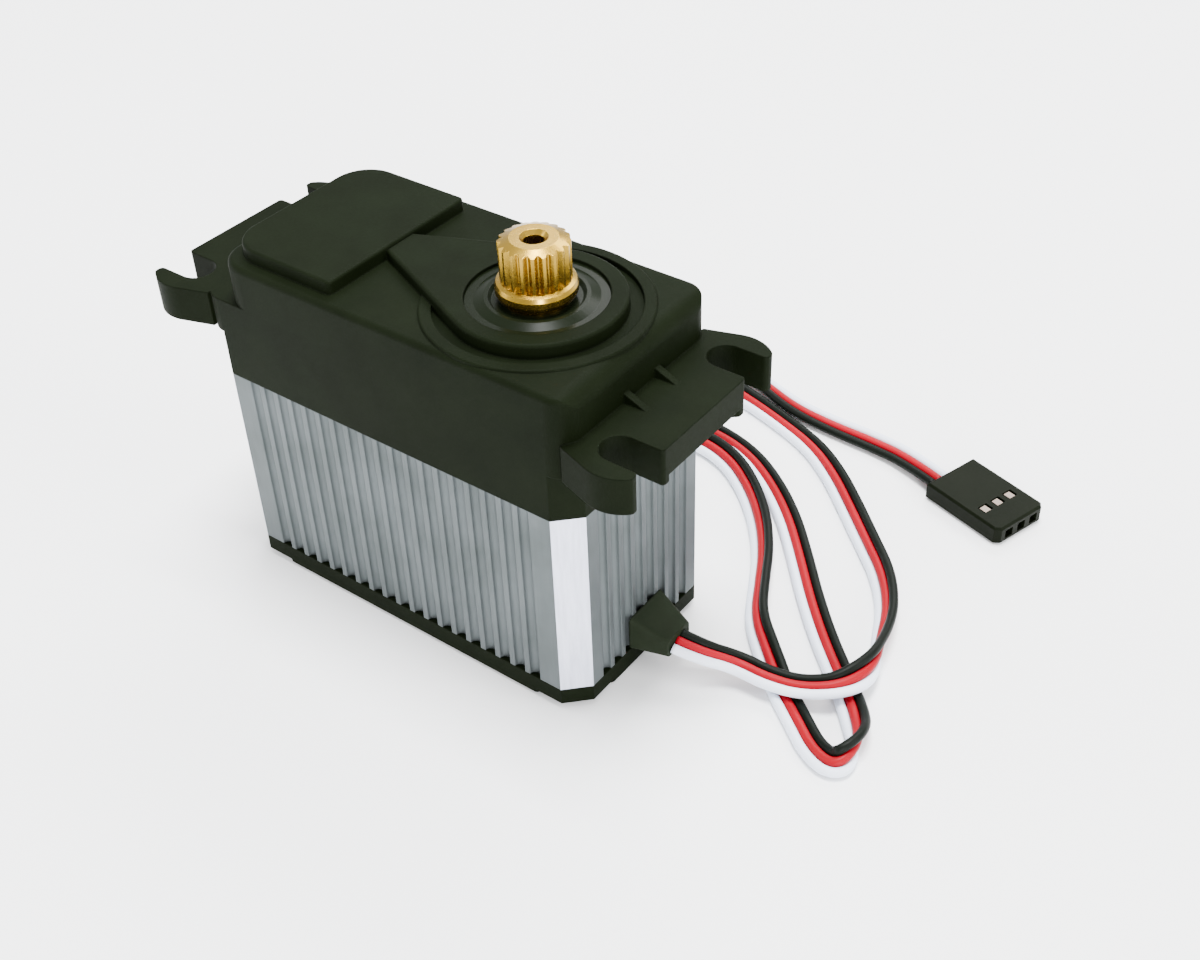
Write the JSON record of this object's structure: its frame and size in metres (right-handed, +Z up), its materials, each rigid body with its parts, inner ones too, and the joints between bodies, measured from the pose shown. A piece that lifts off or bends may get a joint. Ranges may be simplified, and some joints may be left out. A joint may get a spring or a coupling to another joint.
{
  "type": "servo motor",
  "caption": "Geared servo motor with a finned metal middle case, slotted mounting ears, splined output shaft and a flat three-wire lead ending in a plug.",
  "frame": {"origin": "centre of the flat underside, midway between the ear ends", "axes": "+Z up along the output shaft, +X along the case towards the output shaft and the lead, +Y across the case"},
  "size_m": [0.1024, 0.0803, 0.059],
  "materials": {
    "black_case_plastic": "satin moulded nylon",
    "anodised_aluminium": "fine blasted, anodised titanium grey",
    "gold_steel": "machined, titanium nitride gold colour",
    "brass": "machined",
    "bearing_steel": "ground and polished",
    "plain_steel": "turned",
    "black_screws": "black oxide",
    "glossy_seal": "polished black seal",
    "rubber_seal": "matt",
    "magnet": "matt ferrite",
    "copper": "enamelled wire",
    "carbon": "matt graphite",
    "nylon": "natural nylon",
    "board": "solder mask",
    "chip": "moulded",
    "tin": "tinned",
    "blue_sensor": "moulded",
    "red_wire": "soft vinyl",
    "black_wire": "soft vinyl",
    "white_wire": "soft vinyl",
    "connector_plastic": "moulded"
  },
  "bodies": {
    "servo_case": {"bottom_cover": "black_case_plastic", "bottom_gasket": "rubber_seal", "heat_sink_case": "anodised_aluminium", "gear_gasket": "rubber_seal", "gear_case": "black_case_plastic", "gear_plate": "anodised_aluminium", "case_screws": "black_screws", "top_bearing_outer_ring": "bearing_steel", "output_seal": "glossy_seal", "lower_bearing_outer_ring": "bearing_steel", "gear_axle": "plain_steel", "motor_can": "plain_steel", "motor_end_bell": "nylon", "motor_terminals": "tin", "motor_bushings": "brass", "motor_magnets": "magnet", "motor_screws": "black_screws", "motor_brushes": "carbon", "position_sensor_case": "blue_sensor", "position_sensor_terminals": "tin", "circuit_board": "board", "control_chip": "chip", "driver_chips": "chip", "board_capacitors": "tin", "motor_leads": "red_wire", "position_sensor_leads": "white_wire", "signal_wire_tail": "white_wire", "power_wire_tail": "red_wire", "ground_wire_tail": "black_wire", "cable_grommet": "rubber_seal", "servo_lead": "red_wire", "connector_housing": "connector_plastic", "connector_terminals": "tin"},
    "output_stage": {"output_shaft": "gold_steel", "output_gear": "plain_steel", "top_bearing_inner_ring": "bearing_steel", "lower_bearing_inner_ring": "bearing_steel", "position_sensor_rotor": "nylon"},
    "third_stage": {"third_gear": "plain_steel"},
    "second_stage": {"second_gear": "plain_steel"},
    "first_stage": {"first_gear": "brass"},
    "motor_rotor": {"rotor_shaft": "plain_steel", "rotor_core": "plain_steel", "rotor_windings": "copper", "commutator": "copper", "motor_pinion": "brass"},
    "bearing_balls": {"top_bearing_balls": "bearing_steel", "lower_bearing_balls": "bearing_steel"}
  },
  "joints": [
    {"name": "output_spin", "type": "hinge", "parent": "servo_case", "child": "output_stage", "pos_m": [0.0147, 0, 0.045], "axis": [0, 0, 1], "range_deg": [-90, 90]},
    {"name": "third_gear_spin", "type": "hinge", "parent": "servo_case", "child": "third_stage", "pos_m": [0.0007, 0, 0.04], "axis": [0, 0, 1], "range_deg": [-211, 211]},
    {"name": "second_gear_spin", "type": "hinge", "parent": "servo_case", "child": "second_stage", "pos_m": [0.0147, 0, 0.037], "axis": [0, 0, 1], "range_deg": [-771, 771]},
    {"name": "first_gear_spin", "type": "hinge", "parent": "servo_case", "child": "first_stage", "pos_m": [0.0007, 0, 0.036], "axis": [0, 0, 1], "range_deg": [-3722.7, 3722.7]},
    {"name": "motor_spin", "type": "hinge", "parent": "servo_case", "child": "motor_rotor", "pos_m": [-0.0117, 0, 0.02], "axis": [0, 0, 1], "range_deg": [-15508.9, 15508.9]},
    {"name": "balls_orbit", "type": "hinge", "parent": "servo_case", "child": "bearing_balls", "pos_m": [0.0147, 0, 0.0481], "axis": [0, 0, 1], "range_deg": [-36.1, 36.1]}
  ],
  "couplings": [
    {"joint": "third_gear_spin", "follows": "output_spin", "ratio": -2.3333},
    {"joint": "second_gear_spin", "follows": "output_spin", "ratio": 8.5556},
    {"joint": "first_gear_spin", "follows": "output_spin", "ratio": -41.352},
    {"joint": "motor_spin", "follows": "output_spin", "ratio": 172.3},
    {"joint": "balls_orbit", "follows": "output_spin", "ratio": 0.396}
  ]
}
